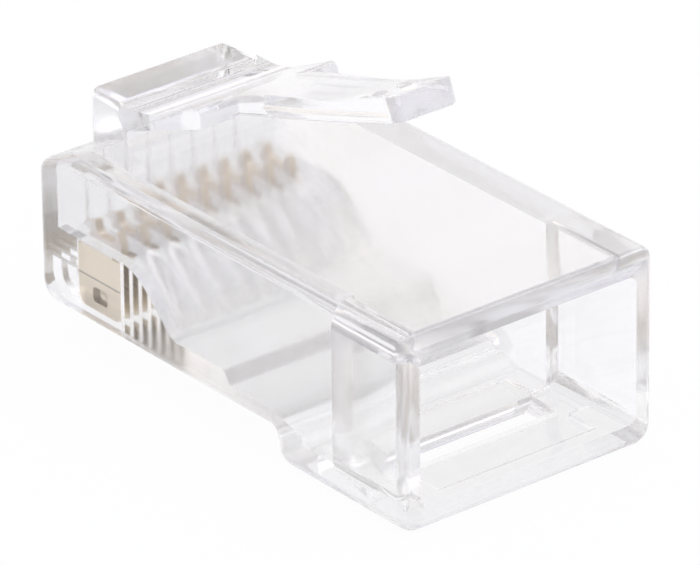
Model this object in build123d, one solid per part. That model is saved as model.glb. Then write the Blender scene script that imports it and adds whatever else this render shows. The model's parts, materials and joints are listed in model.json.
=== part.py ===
from build123d import *
import math
import os

# An eight-position modular plug: a clear moulded housing with a flexing latch on top,
# and eight stamped contact blades that wait in their slots above the underside.
# Frame: X runs from the nose to the cable opening, Y across the contacts, Z up to the latch.
# The origin lies under the middle of the plug, on the plane of the rear pad.
# All sizes are in millimetres and all angles in degrees.

# Outside of the housing
width = 11.68
length = 21.5
rear_height = 7.85
front_lift = 1.25
nose_drop = 0.95
nose_slope_length = 2.4
pad_length = 7.5
nose_bottom_round = 1.0
pad_step_round = 0.9
inner_step_round = 0.3
bottom_round = 0.8
top_round = 0.42
rear_round = 0.38

# Cable cavity, from the mouth forwards
mouth_wall = 0.82
mouth_depth = 4.35
hall_wall = 1.4
roof = 0.9
pad_floor = 1.0
front_floor = 1.0
middle_floor = 0.5
pad_step_wall = 1.1
floor_step_slope = 0.3
floor_step_round = 0.15
middle_length = 2.5
middle_slope_length = 1.9
middle_slope_drop = 0.4
cavity_round = 0.4

# Wire channels and contact slots
positions = 8
pitch = 1.02
front_wall = 0.75
slope_roof = 0.6
channel_lift = 2.75
channel_length = 4.6
groove_radius = 0.46
groove_depth = 0.3
stop_rib_length = 0.2
stop_rib_width = 0.16
ramp_length = 2.2
ramp_brow_round = 2.4
ramp_foot_round = 0.8
slot_clearance = 0.025
slot_front_height = 1.55

# Contact blades
blade_thickness = 0.35
blade_width = 2.55
blade_setback = 1.55
blade_recess = 0.2
blade_body = 2.5
blade_corner = 0.4
neck_height = 0.35
tine_height = 0.52
tine_base = 0.42
tine_tip = 0.14
tine_root_round = 0.3
tine_spacing = 1.4
tine_setback = 0.45
window_width = 0.85
window_height = 0.6
window_lift = 0.35
window_corner = 0.15

# Strain relief in the rear pad
relief_setback = 1.65
relief_length = 3.0
relief_width = 7.5
bar_length = 1.8
bar_width = 6.6
bar_drop = 0.75
bar_rise = 0.2
bar_nose = 0.5
bar_toe = 0.2
bar_heel = 0.3
bar_tip = 0.1
web_length = 0.3
web_thickness = 0.35

# Lip of the cable opening
lip_length = 0.65
lip_recess = 0.2
corner_pad_length = 1.5
corner_pad_width = 1.35

# Latch
latch_width = 6.4
latch_top = 1.35
latch_corner = 0.4
hinge_setback = 2.35
hinge_radius = 0.5
hinge_clearance = 0.03
hinge_split = 135.0
arm_slope = 21.0
arm_ramp = 25.5
arm_bend_radius = 4.0
shoulder_setback = 6.8
shoulder_rise = 1.55
shoulder_round = 0.3
tab_width = 2.9
tab_length = 8.83
tab_rise = 3.05
tab_thickness = 0.85
tab_end_thickness = 1.0
tab_root_length = 0.6
tab_crest_place = 0.24
tab_bow = 0.19
tab_bow_place = 0.62
tab_corner = 0.4
tab_rim_round = 0.15
grips = 2
grip_radius = 0.5
grip_height = 0.1
grip_spacing = 1.17
grip_place = 0.83

# Planes and points that several pieces share
nose_x = -length / 2
rear_x = length / 2
side_y = width / 2
step_x = rear_x - pad_length
deep_x = step_x + pad_step_wall
mouth_x = rear_x - mouth_depth
ceiling_z = rear_height - roof
front_floor_z = front_lift + front_floor
middle_floor_z = front_lift + middle_floor
channel_front = nose_x + front_wall
channel_rear = channel_front + channel_length
channel_floor = front_lift + channel_lift
nose_top_z = rear_height - nose_drop
slope_rise = nose_drop / nose_slope_length
slot_width = blade_thickness + 2 * slot_clearance
blade_front = nose_x + blade_setback
blade_bottom = front_lift + blade_recess
hinge_x = nose_x + hinge_setback
latch_top_z = rear_height + latch_top
hinge_z = latch_top_z - hinge_radius
shoulder_x = nose_x + shoulder_setback
shoulder_z = latch_top_z + shoulder_rise
beyond = 2.0
overlap = 0.1


def outline(*corners):
    """Closed face in the XZ plane; a corner is (x, z) or, where it is rounded, (x, z, radius)."""
    places = [corner[:2] for corner in corners]
    radii = [corner[2] if len(corner) > 2 else 0 for corner in corners]
    return make_face(FilletPolyline(*places, radius=radii, close=True))


def across(face, half_width):
    """Solid from an outline in the XZ plane, spread evenly to both sides of Y = 0."""
    return extrude(Plane.XZ * face, amount=half_width, both=True)


def block(x_range, y_range, z_range):
    """Rectangular solid between three pairs of planes."""
    ranges = (x_range, y_range, z_range)
    size = [high - low for low, high in ranges]
    middle = [(high + low) / 2 for low, high in ranges]
    return Pos(*middle) * Box(*size)


def polar(radius, angle):
    """Point in the XZ plane at an angle about the latch hinge."""
    turn = math.radians(angle)
    return (hinge_x + radius * math.cos(turn), hinge_z + radius * math.sin(turn))


def row_places():
    """Y of each contact, from the near side wall to the far one."""
    return [(row - (positions - 1) / 2) * pitch for row in range(positions)]


def rib_places():
    """Y of each rib between two neighbouring wires."""
    return [place + pitch / 2 for place in row_places()[:-1]]


def outer_body():
    """Outside of the housing without the latch root."""
    body = across(outline(
        (nose_x, front_lift, nose_bottom_round),
        (step_x, front_lift, inner_step_round),
        (step_x, 0, pad_step_round),
        (rear_x, 0),
        (rear_x, rear_height),
        (nose_x + nose_slope_length, rear_height),
        (nose_x, nose_top_z),
    ), side_y)

    def long_edges():
        """Edges of the two side outlines, apart from the rear uprights."""
        edges = body.edges().filter_by(lambda e: abs(e.center().Y) > side_y - overlap)
        return edges.filter_by(lambda e: e.center().X < rear_x - overlap)

    body = fillet(long_edges().filter_by(lambda e: e.center().Z < nose_top_z), bottom_round)
    body = fillet(long_edges().filter_by(lambda e: e.center().Z > nose_top_z), top_round)
    rear_face = body.faces().sort_by(Axis.X)[-1]
    return fillet(rear_face.edges(), rear_round)


def latch_root():
    """Block that rises from the nose and carries the latch in a round seat."""
    seat = hinge_radius + hinge_clearance
    buried_z = nose_top_z - slope_roof / 2
    lip_x = hinge_x + hinge_radius / math.tan(math.radians(hinge_split))
    face = make_face(
        Polyline((nose_x, buried_z), (nose_x, latch_top_z), (lip_x, latch_top_z), polar(seat, hinge_split))
        + ThreePointArc(polar(seat, hinge_split), polar(seat, (hinge_split + 270) / 2), polar(seat, 270))
        + Polyline(polar(seat, 270), (hinge_x, buried_z), (nose_x, buried_z))
    )
    root = across(face, latch_width / 2)
    front_edges = root.faces().sort_by(Axis.X)[0].edges()
    front_edges = front_edges.filter_by(lambda e: e.center().Z > buried_z + overlap)
    top_sides = root.edges().filter_by(Axis.X).filter_by(lambda e: e.center().Z > latch_top_z - overlap)
    return fillet(front_edges + top_sides, latch_corner)


def hall():
    """Front part of the cable cavity, from the front wall over the ramp and the stepped floor to the mouth."""
    slope_start = middle_length
    slope_end = slope_start + middle_slope_length
    front_ceiling_z = nose_top_z + front_wall * slope_rise - slope_roof
    front_slope_length = (ceiling_z - front_ceiling_z) / slope_rise
    cusp_z = channel_floor + groove_depth
    face = outline(
        (channel_front, front_ceiling_z),
        (channel_front, cusp_z),
        (channel_rear, cusp_z, ramp_brow_round),
        (channel_rear + ramp_length, front_floor_z, ramp_foot_round),
        (-floor_step_slope / 2, front_floor_z, floor_step_round),
        (floor_step_slope / 2, middle_floor_z, floor_step_round),
        (slope_start, middle_floor_z),
        (slope_end, middle_floor_z - middle_slope_drop),
        (mouth_x + beyond, middle_floor_z - middle_slope_drop),
        (mouth_x + beyond, ceiling_z),
        (channel_front + front_slope_length, ceiling_z),
    )
    return across(face, side_y - hall_wall)


def cable_cavity():
    """Everything that is hollow from the mouth to the ends of the wire channels."""
    hall_half = side_y - hall_wall
    deep = block((deep_x, mouth_x + beyond), (-hall_half, hall_half), (pad_floor, ceiling_z))
    mouth = block((mouth_x, rear_x + beyond), (-mouth_half(), mouth_half()), (pad_floor, ceiling_z))
    mouth = fillet(mouth.edges().filter_by(Axis.X), cavity_round)
    recess_floor = pad_floor - lip_recess
    lip_x = rear_x - lip_length
    pad_x = lip_x - corner_pad_length
    between_pads = mouth_half() - corner_pad_width
    recess = block((mouth_x, lip_x), (-between_pads, between_pads), (recess_floor, ceiling_z))
    before_pads = block((mouth_x, pad_x), (cavity_round - mouth_half(), mouth_half() - cavity_round),
                        (recess_floor, ceiling_z))
    return hall() + deep + mouth + recess + before_pads


def mouth_half():
    """Half width of the cable opening."""
    return side_y - mouth_wall


def wire_groove(y):
    """Round groove for one wire, along the chamber floor, over the brow and down the ramp."""
    offset = groove_radius - groove_depth
    level = channel_floor + groove_radius
    fall = math.atan2(channel_floor + groove_depth - front_floor_z, ramp_length)
    run_out = groove_depth / math.tan(fall)
    foot_x = channel_rear + ramp_length + offset * math.sin(fall) - run_out * math.cos(fall)
    foot_z = front_floor_z + offset * math.cos(fall) + run_out * math.sin(fall)
    brow_x = channel_rear + offset * math.tan(fall / 2)
    places = ((channel_front, level), (brow_x, level), (foot_x, foot_z))
    path = FilletPolyline(*places, radius=ramp_brow_round + offset)
    path = Pos(0, y, 0) * (Plane.XZ * path)
    return sweep(Plane(path @ 0, z_dir=path % 0) * Circle(groove_radius), path)


def stop_ribs():
    """Upright ribs on the front wall that keep the wire ends apart."""
    half = stop_rib_width / 2
    x_range = (channel_front - overlap, channel_front + stop_rib_length)
    return [block(x_range, (y - half, y + half), (channel_floor, ceiling_z)) for y in rib_places()]


def contact_slot(y):
    """Narrow slot under one wire channel, open below and, in its lower part, to the nose."""
    rear = blade_front + blade_width + slot_clearance
    front = blade_front - slot_clearance
    sides = (y - slot_width / 2, y + slot_width / 2)
    pocket = block((front, rear), sides, (-beyond, channel_floor + groove_radius))
    return pocket + block((nose_x - beyond, rear), sides, (-beyond, front_lift + slot_front_height))


def relief_window():
    """Opening in the rear pad around the strain relief bar."""
    front = step_x + relief_setback
    sides = (-relief_width / 2, relief_width / 2)
    return block((front, front + relief_length), sides, (-beyond, pad_floor + overlap))


def relief_bar():
    """Wedge bar that hangs in the window on a thin web at its front edge."""
    front = step_x + relief_setback
    root = front + web_length
    top = pad_floor + bar_rise
    web_bottom = pad_floor - web_thickness
    face = outline(
        (front - overlap, web_bottom),
        (root, web_bottom),
        (root + bar_toe, pad_floor - bar_drop),
        (root + bar_length - bar_nose, pad_floor - bar_drop),
        (root + bar_length, pad_floor - bar_tip),
        (root + bar_length, top),
        (root + bar_heel, top),
        (root, pad_floor),
        (front - overlap, pad_floor),
    )
    return across(face, bar_width / 2)


def housing():
    """Clear moulding with its cavity, channels, slots, strain relief and latch root."""
    body = outer_body() + latch_root()
    body -= cable_cavity()
    body -= [wire_groove(y) for y in row_places()]
    body += stop_ribs()
    body -= [contact_slot(y) for y in row_places()]
    return body - relief_window() + relief_bar()


def blade(y):
    """Stamped contact: a flat plate with a window, a neck and two piercing tines."""
    rear = blade_front + blade_width
    plate_top = blade_bottom + blade_body
    neck_top = plate_top + neck_height
    tip = neck_top + tine_height
    front_tine = blade_front + tine_setback
    tine_places = (front_tine + tine_spacing, front_tine)
    corners = [(blade_front, blade_bottom, blade_corner), (rear, blade_bottom, blade_corner)]
    corners.append((rear, plate_top))
    corners.append((tine_places[0] + tine_base / 2, plate_top))
    for place in tine_places:
        corners.append((place + tine_base / 2, neck_top, tine_root_round))
        corners.append((place + tine_tip / 2, tip))
        corners.append((place - tine_tip / 2, tip))
        corners.append((place - tine_base / 2, neck_top, tine_root_round))
    corners.append((tine_places[1] - tine_base / 2, plate_top))
    corners.append((blade_front, plate_top))
    window_place = (blade_front + blade_width / 2, blade_bottom + window_lift + window_height / 2)
    window = Pos(*window_place) * RectangleRounded(window_width, window_height, window_corner)
    return Pos(0, y, 0) * across(outline(*corners) - window, blade_thickness / 2)


def latch():
    """Lever with a round heel at its root, two locking shoulders and a narrow release tab."""
    slope = math.radians(arm_slope)
    heel_angle = 270 + arm_slope
    split = hinge_split - math.degrees(hinge_clearance / hinge_radius)
    heel_foot = polar(hinge_radius, heel_angle)
    heel_top = polar(hinge_radius, split)
    lip_x = hinge_x + hinge_radius / math.tan(math.radians(split))
    arm_end_z = heel_foot[1] + (shoulder_x - heel_foot[0]) * math.tan(slope)
    bend_x = shoulder_x - shoulder_rise / math.tan(math.radians(arm_ramp))
    heel = ThreePointArc(heel_top, polar(hinge_radius, (split + heel_angle) / 2), heel_foot)
    rest = Polyline(heel_foot, (shoulder_x, arm_end_z), (shoulder_x, shoulder_z), (bend_x, latch_top_z),
                    (lip_x, latch_top_z), heel_top)
    face = make_face(heel + rest)
    face = fillet(nearest_corner(face, (bend_x, latch_top_z)), arm_bend_radius)
    face = fillet(nearest_corner(face, (shoulder_x, shoulder_z)), shoulder_round)
    return across(face, latch_width / 2) + release_tab(arm_end_z)


def nearest_corner(face, place):
    """Corner of a flat outline that lies nearest to a place."""
    return min(face.vertices(), key=lambda v: math.dist((v.X, v.Y), place))


def release_tab(arm_end_z):
    """Narrow bowed lever behind the shoulders, with two grip bumps near its end."""
    end_x = shoulder_x + tab_length
    end_z = shoulder_z + tab_rise
    bow_x = shoulder_x + tab_bow_place * tab_length
    bow_z = shoulder_z + tab_bow_place * tab_rise - tab_bow
    end_slope = math.atan2(end_z - bow_z, end_x - bow_x)
    heel_x = end_x + tab_end_thickness * math.sin(end_slope)
    heel_z = end_z - tab_end_thickness * math.cos(end_slope)
    ramp = math.radians(arm_ramp)
    root_x = shoulder_x - tab_root_length
    root_z = shoulder_z - tab_root_length * math.tan(ramp)
    crest = (shoulder_x + tab_crest_place * tab_length, shoulder_z + tab_crest_place * tab_rise)
    top = Spline((root_x, root_z), crest, (bow_x, bow_z), (end_x, end_z),
                 tangents=[(math.cos(ramp), math.sin(ramp)), (math.cos(end_slope), math.sin(end_slope))])
    under = Spline((heel_x, heel_z), (bow_x, bow_z - tab_thickness), (shoulder_x, arm_end_z))
    face = make_face(
        top
        + Line((end_x, end_z), (heel_x, heel_z))
        + under
        + Polyline((shoulder_x, arm_end_z), (root_x, arm_end_z), (root_x, root_z))
    )
    tab = across(face, tab_width / 2)
    end_face = tab.faces().sort_by(Axis.X)[-1]
    tab = fillet(end_face.edges().filter_by(Axis.Y, reverse=True), tab_corner)
    upper_and_lower = tab.edges().filter_by(Axis.Y).sort_by(Axis.X)[-2:]
    tab = fillet(upper_and_lower, tab_rim_round)
    place = top.position_at(grip_place)
    for number in range(grips):
        y = (number - (grips - 1) / 2) * grip_spacing
        tab += Pos(place.X, y, place.Y + grip_height - grip_radius) * Sphere(grip_radius)
    return tab


def build():
    """Writes one file for each node."""
    nodes = {"housing": housing(), "latch": latch()}
    for number, y in enumerate(row_places(), start=1):
        nodes[f"contact_{number}"] = blade(y)
    os.makedirs("parts", exist_ok=True)
    for name, solid in nodes.items():
        export_step(solid, f"parts/{name}.step")


build()
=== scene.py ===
import json
import math
import bmesh
import bpy
from mathutils import Matrix, Vector


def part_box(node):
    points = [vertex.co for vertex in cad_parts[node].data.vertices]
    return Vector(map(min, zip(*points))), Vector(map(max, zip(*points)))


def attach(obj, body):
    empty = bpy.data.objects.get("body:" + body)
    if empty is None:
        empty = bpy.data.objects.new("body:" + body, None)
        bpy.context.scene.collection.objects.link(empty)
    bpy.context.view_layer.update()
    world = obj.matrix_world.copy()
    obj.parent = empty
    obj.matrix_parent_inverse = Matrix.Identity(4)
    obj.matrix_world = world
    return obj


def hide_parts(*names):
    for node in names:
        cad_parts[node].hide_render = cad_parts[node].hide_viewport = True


bl_info = {
    "name": "Clear modular plug",
    "version": (1, 0, 0),
    "blender": (4, 5, 0),
    "location": "View3D > Sidebar > Plug",
    "description": "Dresses a clear eight-position modular plug and its photo studio",
    "category": "Object",
}

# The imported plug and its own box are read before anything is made, so that sizes can come from them
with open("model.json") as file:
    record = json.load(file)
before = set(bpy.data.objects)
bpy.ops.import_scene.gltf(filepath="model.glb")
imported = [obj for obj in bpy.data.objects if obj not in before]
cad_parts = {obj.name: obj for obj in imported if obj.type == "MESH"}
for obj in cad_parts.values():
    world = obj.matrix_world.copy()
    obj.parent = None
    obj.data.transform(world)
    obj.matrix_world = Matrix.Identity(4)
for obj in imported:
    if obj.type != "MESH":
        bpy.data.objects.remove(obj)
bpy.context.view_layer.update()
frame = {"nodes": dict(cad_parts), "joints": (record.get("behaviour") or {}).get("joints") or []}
CONTACTS = [f"contact_{number}" for number in range(1, 9)]
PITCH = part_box(CONTACTS[1])[0].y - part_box(CONTACTS[0])[0].y
LATCH_JOINT = next(joint for joint in frame["joints"] if joint["name"] == "latch_flex")
HINGE = Vector(LATCH_JOINT["pos_m"])

MM = 0.001
PHOTO_WIDTH = 700
FILM_WIDTH = 36

# Numbers of the four finishes in the material list of a moulding
POLISHED, JOINED, SATIN, FROSTED = range(4)


class PlugSettings(bpy.types.PropertyGroup):
    """Sizes and colours of the plug's own finishes."""

    weld: bpy.props.FloatProperty(
        name="Weld", description="Distance within which mesh corners are joined",
        default=0.0005 * MM, unit="LENGTH", precision=7)
    smooth_angle: bpy.props.FloatProperty(
        name="Smooth angle", description="Bends flatter than this are shaded as one moulded surface",
        default=math.radians(34), subtype="ANGLE")
    blade_edge: bpy.props.FloatProperty(
        name="Blade edge break", description="Rounding that stamping leaves along the contact edges",
        default=0.03 * MM, unit="LENGTH", precision=6)
    blade_edge_steps: bpy.props.IntProperty(
        name="Blade edge steps", description="Faces across each rounded contact edge", default=2)
    blade_edge_angle: bpy.props.FloatProperty(
        name="Blade edge angle", description="Bends sharper than this are rounded on the contacts",
        default=math.radians(40), subtype="ANGLE")
    seat_radius: bpy.props.FloatProperty(
        name="Latch seat radius", description="Radius of the round seat between latch and root",
        default=0.56 * MM, unit="LENGTH", precision=6)
    underside: bpy.props.FloatProperty(
        name="Underside", description="Height up to which faces that look down are frosted",
        default=2.1 * MM, unit="LENGTH", precision=6)
    front: bpy.props.FloatProperty(
        name="Front", description="Place along the plug up to which faces that look forward are frosted",
        default=-9.7 * MM, unit="LENGTH", precision=6)
    root_low: bpy.props.FloatProperty(
        name="Root foot", description="Height from which the front is polished again",
        default=6.8 * MM, unit="LENGTH", precision=6)
    row_half_width: bpy.props.FloatProperty(
        name="Row half width", description="Half width of the satin wire grooves and their ramp",
        default=4.43 * MM, unit="LENGTH", precision=6)
    row_end: bpy.props.FloatProperty(
        name="Row end", description="Where the satin ramp ends, along the plug",
        default=-3.1 * MM, unit="LENGTH", precision=6)
    row_low: bpy.props.FloatProperty(
        name="Row low", description="Height at which the satin ramp starts",
        default=2.27 * MM, unit="LENGTH", precision=6)
    row_high: bpy.props.FloatProperty(
        name="Row high", description="Height of the satin ribs between the wire grooves",
        default=4.35 * MM, unit="LENGTH", precision=6)
    step_half_width: bpy.props.FloatProperty(
        name="Floor step", description="Half length of the satin step in the floor",
        default=0.3 * MM, unit="LENGTH", precision=6)
    ripple: bpy.props.FloatProperty(
        name="Flow ripple", description="Spacing of the slow waves in the moulded surface",
        default=3.0 * MM, unit="LENGTH", precision=5)
    pit: bpy.props.FloatProperty(
        name="Pit spacing", description="Spacing of the fine pattern that the steel leaves",
        default=0.15 * MM, unit="LENGTH", precision=6)
    polished_roughness: bpy.props.FloatVectorProperty(
        name="Polished roughness", description="Least and most roughness of the polished plastic",
        default=(0.06, 0.12), size=2)
    satin_roughness: bpy.props.FloatVectorProperty(
        name="Satin roughness", description="Least and most roughness of the satin plastic",
        default=(0.08, 0.13), size=2)
    frosted_roughness: bpy.props.FloatVectorProperty(
        name="Frosted roughness", description="Least and most roughness of the frosted plastic",
        default=(0.21, 0.28), size=2)
    plastic_tint: bpy.props.StringProperty(
        name="Plastic", description="Colour of the clear moulding, as an sRGB hex value",
        default="#ffffff")
    plastic_depth: bpy.props.StringProperty(
        name="Plastic in depth", default="#e8e7f6",
        description="Colour that light takes on inside the moulding, as an sRGB hex value")
    plastic_density: bpy.props.FloatProperty(
        name="Plastic density", description="How strongly the moulding takes up light", default=5.0)
    gold: bpy.props.StringProperty(
        name="Gold", description="Colour of the plated blade faces, as an sRGB hex value",
        default="#ece0cc")
    nickel: bpy.props.StringProperty(
        name="Nickel", description="Colour of the plated tines, as an sRGB hex value", default="#e9e1dc")
    bronze: bpy.props.StringProperty(
        name="Bronze", description="Colour of the sheared blade edges, as an sRGB hex value",
        default="#cabca9")
    plating_end: bpy.props.FloatProperty(
        name="Gold end", description="Height at which the gold plating ends",
        default=3.9 * MM, unit="LENGTH", precision=6)
    plating_fade: bpy.props.FloatProperty(
        name="Gold fade", description="Length over which gold gives way to nickel",
        default=0.15 * MM, unit="LENGTH", precision=6)
    # Height and half width of a line of painted shade across the contact plate
    shade_line_height: bpy.props.FloatProperty(
        name="Painted shade line", description="Height of the painted shade line across the plate",
        default=2.75 * MM, unit="LENGTH", precision=6)
    shade_line_width: bpy.props.FloatProperty(
        name="Painted shade line width", description="Half width of the painted shade line",
        default=0.05 * MM, unit="LENGTH", precision=6)


class StudioSettings(bpy.types.PropertyGroup):
    """Camera, light and ground of the photo studio."""

    azimuth: bpy.props.FloatProperty(
        name="Azimuth", description="Turn of the camera round the plug, from the near side towards the rear",
        default=math.radians(51.41), subtype="ANGLE")
    elevation: bpy.props.FloatProperty(
        name="Elevation", description="Height of the camera above the horizon",
        default=math.radians(26.67), subtype="ANGLE")
    roll: bpy.props.FloatProperty(
        name="Roll", description="Turn of the camera about its own axis",
        default=math.radians(-0.66), subtype="ANGLE")
    distance: bpy.props.FloatProperty(
        name="Distance", description="Distance from the origin to the camera plane",
        default=0.3005, unit="LENGTH")
    view_depth: bpy.props.FloatProperty(
        name="View depth", description="Distance up to which the camera sees", default=20.0, unit="LENGTH")
    focal_pixels: bpy.props.FloatProperty(
        name="Focal length", description="Focal length in pixels of the 700 pixel wide picture",
        default=8194.0)
    aim_across: bpy.props.FloatProperty(
        name="Aim across", description="How far the origin lies right of the picture's middle",
        default=-0.381 * MM, unit="LENGTH", precision=6)
    aim_up: bpy.props.FloatProperty(
        name="Aim up", description="How far the origin lies above the picture's middle",
        default=-3.706 * MM, unit="LENGTH", precision=6)
    bounces: bpy.props.IntProperty(
        name="Bounces", description="Turns that light may take inside the clear walls", default=64)
    softbox_place: bpy.props.FloatVectorProperty(
        name="Soft box place", description="Where the overhead soft box hangs",
        default=(0.1, 0.15, 0.6), subtype="TRANSLATION")
    softbox_size: bpy.props.FloatProperty(
        name="Soft box size", description="Side of the square soft box", default=0.5, unit="LENGTH")
    softbox_power: bpy.props.FloatProperty(
        name="Soft box power", description="Power of the soft box", default=1.2, unit="POWER")
    room_strength: bpy.props.FloatProperty(
        name="Room strength", description="How brightly the room lights the plug", default=1.12)
    below_tone: bpy.props.StringProperty(
        name="Below", description="Colour of the room below the horizon, as an sRGB hex value",
        default="#fafaff")
    horizon_tone: bpy.props.StringProperty(
        name="Horizon", description="Colour of the room at the horizon, as an sRGB hex value",
        default="#f4f2fa")
    wall_foot_tone: bpy.props.StringProperty(
        name="Wall foot", description="Colour of the lower walls, as an sRGB hex value", default="#fcfaf8")
    wall_tone: bpy.props.StringProperty(
        name="Walls", description="Colour of the warm walls, as an sRGB hex value", default="#f5eee8")
    ceiling_tone: bpy.props.StringProperty(
        name="Ceiling", description="Colour of the ceiling, as an sRGB hex value", default="#fcfbff")
    overhead_tone: bpy.props.StringProperty(
        name="Overhead", description="Colour straight overhead, as an sRGB hex value", default="#ffffff")
    floor_size: bpy.props.FloatProperty(
        name="Floor", description="Side of the pale floor", default=4.0, unit="LENGTH")
    paper: bpy.props.StringProperty(
        name="Paper", description="Colour of the paper floor, as an sRGB hex value", default="#dfdff0")
    ground: bpy.props.StringProperty(
        name="Ground", description="Colour of the lit background, as an sRGB hex value", default="#ffffff")
    ground_share: bpy.props.FloatProperty(
        name="Ground share", description="Share of the lit background over the shaded paper", default=0.97)
    seen_through: bpy.props.FloatProperty(
        name="Seen through", description="Share of the lit background that shows through the clear plastic",
        default=0.86)


def linear(code):
    """Linear colour from an sRGB hex value."""
    parts = [int(code[place:place + 2], 16) / 255 for place in (1, 3, 5)]
    return [part / 12.92 if part <= 0.04045 else ((part + 0.055) / 1.055) ** 2.4 for part in parts] + [1.0]


def add(tree, kind, settings=None, links=None):
    """One node with its settings and links; a key is an attribute or the name or number of an input."""
    node = tree.nodes.new(kind)
    for key, value in (settings or {}).items():
        if isinstance(key, str) and hasattr(node, key):
            setattr(node, key, value)
        else:
            node.inputs[key].default_value = value
    for key, source in (links or {}).items():
        tree.links.new(source, node.inputs[key])
    return node


def new_material(name):
    """Empty node material with its output."""
    material = bpy.data.materials.new(name)
    material.use_nodes = True
    material.node_tree.nodes.clear()
    return material, material.node_tree, material.node_tree.nodes.new("ShaderNodeOutputMaterial")


def polycarbonate(name, settings, roughness):
    """Clear injection-moulded polycarbonate whose roughness wanders between two values.

    It gives slow flow waves and a fine grain that the steel of the mould leaves.
    """
    flow_depth = 0.01 * MM
    grain_depth = 0.001 * MM
    refraction = 1.585
    material, tree, output = new_material(name)
    place = add(tree, "ShaderNodeTexCoord")
    waves = add(tree, "ShaderNodeTexNoise", {"Scale": 1 / settings.ripple, "Detail": 1.0},
                {"Vector": place.outputs["Object"]})
    rough = add(tree, "ShaderNodeMapRange", {"To Min": roughness[0], "To Max": roughness[1]},
                {"Value": waves.outputs["Fac"]})
    flow = add(tree, "ShaderNodeBump", {"Strength": 0.25, "Distance": flow_depth},
               {"Height": waves.outputs["Fac"]})

    # The real grain is too fine to show, so it is drawn coarser
    pits = add(tree, "ShaderNodeTexNoise", {"Scale": 1 / settings.pit, "Detail": 2.0},
               {"Vector": place.outputs["Object"]})
    grain = add(tree, "ShaderNodeBump", {"Strength": 0.2, "Distance": grain_depth},
                {"Height": pits.outputs["Fac"], "Normal": flow.outputs["Normal"]})

    surface = add(tree, "ShaderNodeBsdfPrincipled", {
        "Base Color": linear(settings.plastic_tint),
        "IOR": refraction,
        "Transmission Weight": 1.0,
    }, {"Normal": grain.outputs["Normal"], "Roughness": rough.outputs["Result"]})
    depth = add(tree, "ShaderNodeVolumeAbsorption",
                {"Color": linear(settings.plastic_depth), "Density": settings.plastic_density})
    tree.links.new(surface.outputs["BSDF"], output.inputs["Surface"])
    tree.links.new(depth.outputs["Volume"], output.inputs["Volume"])
    return material


def polished_plastic(settings):
    """Polycarbonate moulded against polished steel.

    It gives a hard, glassy gloss with slow flow waves.
    """
    return polycarbonate("polished_clear_polycarbonate", settings, settings.polished_roughness)


def joined_plastic():
    """Inside of the moulding where latch and root are one piece of plastic.

    It gives the eye nothing, because light runs through it unbent.
    """
    material, tree, output = new_material("joined_polycarbonate")
    surface = add(tree, "ShaderNodeBsdfTransparent", {"Color": linear("#ffffff")})
    tree.links.new(surface.outputs["BSDF"], output.inputs["Surface"])
    return material


def satin_plastic(settings):
    """Polycarbonate moulded against lightly etched steel.

    It gives a slight haze that softens what lies behind the wire grooves and their ramp.
    """
    return polycarbonate("satin_clear_polycarbonate", settings, settings.satin_roughness)


def frosted_plastic(settings):
    """Polycarbonate moulded against spark-eroded steel.

    It gives the faces that only guide the plug a milky grey that veils the contact row behind them.
    """
    return polycarbonate("frosted_clear_polycarbonate", settings, settings.frosted_roughness)


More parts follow.
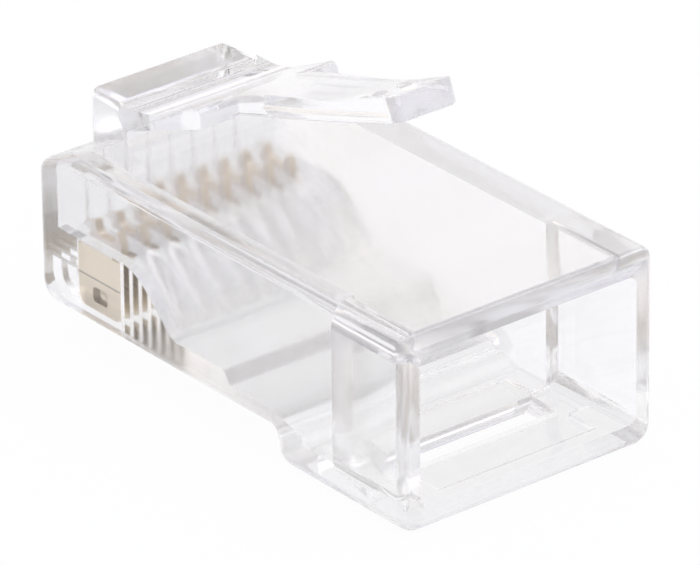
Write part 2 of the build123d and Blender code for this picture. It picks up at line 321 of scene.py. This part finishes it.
def plated_bronze(settings):
    """Phosphor bronze strip, rolled, plated in gold up to the neck and in nickel above it, and stamped.

    It gives pale gold plates, grey tines, fine rolling lines, brownish sheared edges and a dark line of
    painted shade across the plate.
    """
    sheared, plated = 0.5, 0.95
    # How dark the painted shade line makes the plating
    shade_line_tone = 0.35
    line_spacing = 0.6 * MM
    line_depth = 0.004 * MM
    line_stretch = 12.0
    smoothest, roughest = 0.26, 0.42
    material, tree, output = new_material("gold_plated_phosphor_bronze")
    place = add(tree, "ShaderNodeTexCoord")

    # Gold gives way to nickel above the neck
    spot = add(tree, "ShaderNodeSeparateXYZ", links={0: place.outputs["Object"]})
    above = add(tree, "ShaderNodeMapRange",
                {"From Min": settings.plating_end, "From Max": settings.plating_end + settings.plating_fade},
                {"Value": spot.outputs["Z"]})
    plating = add(tree, "ShaderNodeMix",
                  {"data_type": "RGBA", 6: linear(settings.gold), 7: linear(settings.nickel)},
                  {0: above.outputs["Result"]})

    # A line of painted shade darkens the plate at one height
    offset = add(tree, "ShaderNodeMath", {"operation": "SUBTRACT", 1: settings.shade_line_height},
                 {0: spot.outputs["Z"]})
    from_line = add(tree, "ShaderNodeMath", {"operation": "ABSOLUTE"}, {0: offset.outputs[0]})
    off_line = add(tree, "ShaderNodeMapRange", {
        "From Min": settings.shade_line_width / 3,
        "From Max": settings.shade_line_width,
        "To Min": shade_line_tone,
    }, {"Value": from_line.outputs[0]})
    plating_with_shade_line = add(tree, "ShaderNodeMix", {"data_type": "RGBA", "blend_type": "MULTIPLY", 0: 1.0},
                {6: plating.outputs[2], 7: off_line.outputs["Result"]})

    # Only the broad sides of the strip are plated, and its sheared edges show bronze
    facing = add(tree, "ShaderNodeSeparateXYZ", links={0: place.outputs["Normal"]})
    across = add(tree, "ShaderNodeMath", {"operation": "ABSOLUTE"}, {0: facing.outputs["Y"]})
    side = add(tree, "ShaderNodeMapRange", {"From Min": sheared, "From Max": plated},
               {"Value": across.outputs[0]})
    colour = add(tree, "ShaderNodeMix", {"data_type": "RGBA", 6: linear(settings.bronze)},
                 {0: side.outputs["Result"], 7: plating_with_shade_line.outputs[2]})

    # The rolling lines are too fine to show, so they are drawn coarser
    stretch = add(tree, "ShaderNodeMapping", {"Scale": (1.0, 1.0, line_stretch)},
                  {"Vector": place.outputs["Object"]})
    lines = add(tree, "ShaderNodeTexNoise", {"Scale": 1 / line_spacing, "Detail": 3.0},
                {"Vector": stretch.outputs["Vector"]})
    rough = add(tree, "ShaderNodeMapRange", {"To Min": smoothest, "To Max": roughest},
                {"Value": lines.outputs["Fac"]})
    bump = add(tree, "ShaderNodeBump", {"Strength": 0.3, "Distance": line_depth},
               {"Height": lines.outputs["Fac"]})

    surface = add(tree, "ShaderNodeBsdfPrincipled", {"Metallic": 1.0}, {
        "Base Color": colour.outputs[2],
        "Roughness": rough.outputs["Result"],
        "Normal": bump.outputs["Normal"],
    })
    tree.links.new(surface.outputs["BSDF"], output.inputs["Surface"])
    return material


def welded_copy(node, name, settings):
    """Copy of a CAD node as one welded mesh, with flat faces joined and bends shaded smooth."""
    flat = math.radians(0.3)
    mesh = frame["nodes"][node].data.copy()
    mesh.name = name
    mesh.materials.clear()
    work = bmesh.new()
    work.from_mesh(mesh)
    bmesh.ops.remove_doubles(work, verts=work.verts, dist=settings.weld)
    bmesh.ops.dissolve_limit(work, angle_limit=flat, verts=work.verts, edges=work.edges)
    work.to_mesh(mesh)
    work.free()
    mesh.shade_smooth()
    mesh.set_sharp_from_angle(angle=settings.smooth_angle)
    piece = bpy.data.objects.new(name, mesh)
    bpy.context.scene.collection.objects.link(piece)
    return piece


def finish_mesh(piece):
    """Turns the evaluated piece into its plain mesh and drops its modifiers."""
    depsgraph = bpy.context.evaluated_depsgraph_get()
    mesh = bpy.data.meshes.new_from_object(piece.evaluated_get(depsgraph), depsgraph=depsgraph)
    mesh.name = piece.name
    piece.modifiers.clear()
    piece.data = mesh


def weigh_normals(piece):
    """Lets the large faces of a moulding rule the shading along its rounded edges."""
    strongest = 100
    modifier = piece.modifiers.new("even shading", "WEIGHTED_NORMAL")
    modifier.mode = "FACE_AREA"
    modifier.weight = strongest
    modifier.keep_sharp = True


def mark_finishes(mesh, settings):
    """Picks the plastic for each face of a moulding from its place and direction."""
    # Least share of a face's normal that makes it lean, stand steep or look to the side
    lean, steep, sideways = 0.1, 0.3, 0.5
    for face in mesh.polygons:
        place, normal = face.center, face.normal
        in_seat = math.hypot(place.x - HINGE.x, place.z - HINGE.z) < settings.seat_radius
        in_row = abs(place.y) < settings.row_half_width and place.x < settings.row_end
        on_row_floor = settings.row_low < place.z < settings.row_high and normal.z > lean
        on_step = abs(place.x) < settings.step_half_width and place.z < settings.row_low
        on_underside = place.z < settings.underside and normal.z < -lean
        on_front = place.x < settings.front and normal.x < -lean and place.z < settings.root_low
        if in_seat and abs(normal.y) < sideways:
            face.material_index = JOINED
        elif in_row and on_row_floor or on_step and normal.x > steep:
            face.material_index = SATIN
        elif on_underside or on_front:
            face.material_index = FROSTED
        else:
            face.material_index = POLISHED


class PLUG_OT_mouldings(bpy.types.Operator):
    """Makes the clear housing and the clear latch"""

    bl_idname = "plug.mouldings"
    bl_label = "Clear mouldings"

    def execute(self, context):
        settings = context.scene.plug
        finishes = {
            POLISHED: polished_plastic(settings),
            JOINED: joined_plastic(),
            SATIN: satin_plastic(settings),
            FROSTED: frosted_plastic(settings),
        }
        for node in ("housing", "latch"):
            piece = welded_copy(node, f"clear_{node}", settings)
            weigh_normals(piece)
            finish_mesh(piece)
            for number in sorted(finishes):
                piece.data.materials.append(finishes[number])
            mark_finishes(piece.data, settings)
            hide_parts(node)
            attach(piece, f"{node}_body")
        return {"FINISHED"}


def contact_row_tree():
    """Geometry nodes that repeat one blade along the row and give it its finish."""
    tree = bpy.data.node_groups.new("contact_row", "GeometryNodeTree")
    for name, kind in (("Blade", "NodeSocketGeometry"), ("Contacts", "NodeSocketInt"),
                       ("Pitch", "NodeSocketFloat"), ("Finish", "NodeSocketMaterial")):
        tree.interface.new_socket(name, in_out="INPUT", socket_type=kind)
    tree.interface.new_socket("Row", in_out="OUTPUT", socket_type="NodeSocketGeometry")
    source = add(tree, "NodeGroupInput")
    step = add(tree, "ShaderNodeCombineXYZ", links={"Y": source.outputs["Pitch"]})
    line = add(tree, "GeometryNodeMeshLine", links={
        "Count": source.outputs["Contacts"],
        "Offset": step.outputs["Vector"],
    })
    copies = add(tree, "GeometryNodeInstanceOnPoints", links={
        "Points": line.outputs["Mesh"],
        "Instance": source.outputs["Blade"],
    })
    real = add(tree, "GeometryNodeRealizeInstances", links={"Geometry": copies.outputs["Instances"]})
    finished = add(tree, "GeometryNodeSetMaterial", links={
        "Geometry": real.outputs["Geometry"],
        "Material": source.outputs["Finish"],
    })
    add(tree, "NodeGroupOutput", links={"Row": finished.outputs["Geometry"]})
    return tree


def set_input(modifier, name, value):
    """Sets one named input of a geometry nodes modifier through its identifier."""
    sockets = modifier.node_group.interface.items_tree
    identifier = next(s.identifier for s in sockets if s.name == name and s.in_out == "INPUT")
    modifier[identifier] = value


def contact_row(settings):
    """The first blade with its stamped edges, repeated along the row as one plain mesh."""
    row = welded_copy(CONTACTS[0], "contact_row", settings)
    edges = row.modifiers.new("stamped edges", "BEVEL")
    edges.width = settings.blade_edge
    edges.segments = settings.blade_edge_steps
    edges.angle_limit = settings.blade_edge_angle
    edges.harden_normals = True
    repeat = row.modifiers.new("contact row", "NODES")
    repeat.node_group = contact_row_tree()
    set_input(repeat, "Contacts", len(CONTACTS))
    set_input(repeat, "Pitch", PITCH)
    set_input(repeat, "Finish", plated_bronze(settings))
    finish_mesh(row)
    return row


def blade_from_row(row, node):
    """The one blade of the row that stands where the given CAD node stands."""
    middle = sum(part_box(node), Vector()).y / 2
    blade = bpy.data.objects.new(f"blade_{node[-1]}", row.data.copy())
    bpy.context.scene.collection.objects.link(blade)
    work = bmesh.new()
    work.from_mesh(blade.data)
    others = [corner for corner in work.verts if abs(corner.co.y - middle) > PITCH / 2]
    bmesh.ops.delete(work, geom=others, context="VERTS")
    work.to_mesh(blade.data)
    work.free()
    return blade


class PLUG_OT_contacts(bpy.types.Operator):
    """Makes the row of eight stamped contact blades"""

    bl_idname = "plug.contacts"
    bl_label = "Contact blades"

    def execute(self, context):
        row = contact_row(context.scene.plug)
        for node in CONTACTS:
            blade = blade_from_row(row, node)
            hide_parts(node)
            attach(blade, f"{node}_body")
        bpy.data.objects.remove(row)
        return {"FINISHED"}


def white_paper(settings):
    """Matt white paper sweep of the studio.

    It gives an even white ground, a faint soft shadow, and a slightly cooler ground under the clear plastic.
    """
    material, tree, output = new_material("matt_white_paper")
    path = add(tree, "ShaderNodeLightPath")

    # The camera and reflections see the lit ground, and the clear plastic lets a set share of it through
    direct = add(tree, "ShaderNodeMath", {"operation": "MAXIMUM"},
                 {0: path.outputs["Is Camera Ray"], 1: path.outputs["Is Glossy Ray"]})
    visible = add(tree, "ShaderNodeMath", {"operation": "MAXIMUM"},
                  {0: direct.outputs[0], 1: path.outputs["Is Transmission Ray"]})
    lit = add(tree, "ShaderNodeMath", {"operation": "MULTIPLY_ADD", 1: settings.seen_through - 1},
              {0: path.outputs["Is Transmission Ray"], 2: visible.outputs[0]})
    paper = add(tree, "ShaderNodeBsdfDiffuse", {"Color": linear(settings.paper)})
    glow = add(tree, "ShaderNodeEmission", {"Color": linear(settings.ground), "Strength": 1.0})
    bright = add(tree, "ShaderNodeMixShader", {"Fac": settings.ground_share},
                 {1: paper.outputs["BSDF"], 2: glow.outputs["Emission"]})
    surface = add(tree, "ShaderNodeMixShader", links={
        "Fac": lit.outputs[0],
        1: paper.outputs["BSDF"],
        2: bright.outputs["Shader"],
    })
    tree.links.new(surface.outputs["Shader"], output.inputs["Surface"])
    return material


def add_floor(settings):
    """Large flat sheet of paper that the plug stands on."""
    half = settings.floor_size / 2
    mesh = bpy.data.meshes.new("floor")
    corners = [(-half, -half, 0), (half, -half, 0), (half, half, 0), (-half, half, 0)]
    mesh.from_pydata(corners, [], [(0, 1, 2, 3)])
    mesh.materials.append(white_paper(settings))
    floor = bpy.data.objects.new("floor", mesh)
    bpy.context.scene.collection.objects.link(floor)


def studio_world(settings):
    """Soft white room with warm walls, a cool horizon and a bright ceiling."""
    # Heights run from 0 straight down over 0.5 at the horizon to 1 straight up
    below, horizon, wall_foot, wall, ceiling, overhead = 0.45, 0.5, 0.53, 0.7, 0.85, 1.0
    world = bpy.data.worlds.new("soft_white_room")
    world.use_nodes = True
    tree = world.node_tree
    tree.nodes.clear()
    direction = add(tree, "ShaderNodeTexCoord")
    parts = add(tree, "ShaderNodeSeparateXYZ", links={0: direction.outputs["Generated"]})
    height = add(tree, "ShaderNodeMapRange", {"From Min": -1.0, "From Max": 1.0},
                 {"Value": parts.outputs["Z"]})
    tone = add(tree, "ShaderNodeValToRGB", links={"Fac": height.outputs["Result"]})
    stops = tone.color_ramp.elements
    stops[0].position = below
    stops[0].color = linear(settings.below_tone)
    stops[1].position = overhead
    stops[1].color = linear(settings.overhead_tone)
    stops.new(horizon).color = linear(settings.horizon_tone)
    stops.new(wall_foot).color = linear(settings.wall_foot_tone)
    stops.new(wall).color = linear(settings.wall_tone)
    stops.new(ceiling).color = linear(settings.ceiling_tone)
    back = add(tree, "ShaderNodeBackground", {"Strength": settings.room_strength},
               {"Color": tone.outputs["Color"]})
    add(tree, "ShaderNodeOutputWorld", links={"Surface": back.outputs["Background"]})
    return world


def add_softbox(settings):
    """Square soft box that hangs overhead and looks at the plug."""
    lamp = bpy.data.lights.new("overhead_softbox", "AREA")
    lamp.energy = settings.softbox_power
    lamp.size = settings.softbox_size
    holder = bpy.data.objects.new("overhead_softbox", lamp)
    place = Vector(settings.softbox_place)
    holder.location = place
    holder.rotation_euler = (-place).to_track_quat("-Z", "Y").to_euler()
    bpy.context.scene.collection.objects.link(holder)


def add_camera(settings):
    """Camera at the photo's viewing angle, distance and framing."""
    azimuth, elevation, roll = settings.azimuth, settings.elevation, settings.roll
    back = Vector((math.sin(azimuth) * math.cos(elevation), -math.cos(azimuth) * math.cos(elevation),
                   math.sin(elevation)))
    right = Vector((math.cos(azimuth), math.sin(azimuth), 0))
    up = back.cross(right)
    place = back * settings.distance - right * settings.aim_across - up * settings.aim_up
    turned_right = right * math.cos(roll) + up * math.sin(roll)
    turned_up = up * math.cos(roll) - right * math.sin(roll)
    camera = bpy.data.cameras.new("photo_camera")
    camera.sensor_width = FILM_WIDTH
    camera.lens = settings.focal_pixels * FILM_WIDTH / PHOTO_WIDTH
    camera.clip_end = settings.view_depth
    holder = bpy.data.objects.new("photo_camera", camera)
    axes = Matrix((turned_right, turned_up, back)).transposed()
    holder.matrix_world = Matrix.Translation(place) @ axes.to_4x4()
    bpy.context.scene.collection.objects.link(holder)
    bpy.context.scene.camera = holder


class PLUG_OT_studio(bpy.types.Operator):
    """Makes the floor, the soft light and the camera"""

    bl_idname = "plug.studio"
    bl_label = "Photo studio"

    def execute(self, context):
        settings = context.scene.studio
        add_floor(settings)
        context.scene.world = studio_world(settings)
        add_softbox(settings)
        add_camera(settings)
        context.scene.view_settings.view_transform = "Standard"

        # Light that is turned back many times inside the clear walls would end in black with the usual limits
        cycles = context.scene.cycles
        cycles.max_bounces = settings.bounces
        cycles.glossy_bounces = settings.bounces
        cycles.transmission_bounces = settings.bounces
        cycles.transparent_max_bounces = settings.bounces
        return {"FINISHED"}


class PLUG_PT_panel(bpy.types.Panel):
    """Lists the plug's pieces and its studio."""

    bl_idname = "PLUG_PT_panel"
    bl_label = "Clear modular plug"
    bl_space_type = "VIEW_3D"
    bl_region_type = "UI"
    bl_category = "Plug"

    def draw(self, context):
        for group in (context.scene.plug, context.scene.studio):
            for name in type(group).__annotations__:
                self.layout.prop(group, name)
        for operator in (PLUG_OT_mouldings, PLUG_OT_contacts, PLUG_OT_studio):
            self.layout.operator(operator.bl_idname)


CLASSES = (PlugSettings, StudioSettings, PLUG_OT_mouldings, PLUG_OT_contacts, PLUG_OT_studio, PLUG_PT_panel)


def register():
    for kind in CLASSES:
        bpy.utils.register_class(kind)
    bpy.types.Scene.plug = bpy.props.PointerProperty(type=PlugSettings)
    bpy.types.Scene.studio = bpy.props.PointerProperty(type=StudioSettings)


def unregister():
    del bpy.types.Scene.studio
    del bpy.types.Scene.plug
    for kind in reversed(CLASSES):
        bpy.utils.unregister_class(kind)


def main():
    """Makes every piece and the studio."""
    register()
    bpy.ops.plug.mouldings()
    bpy.ops.plug.contacts()
    bpy.ops.plug.studio()


if __name__ == "__main__":
    main()
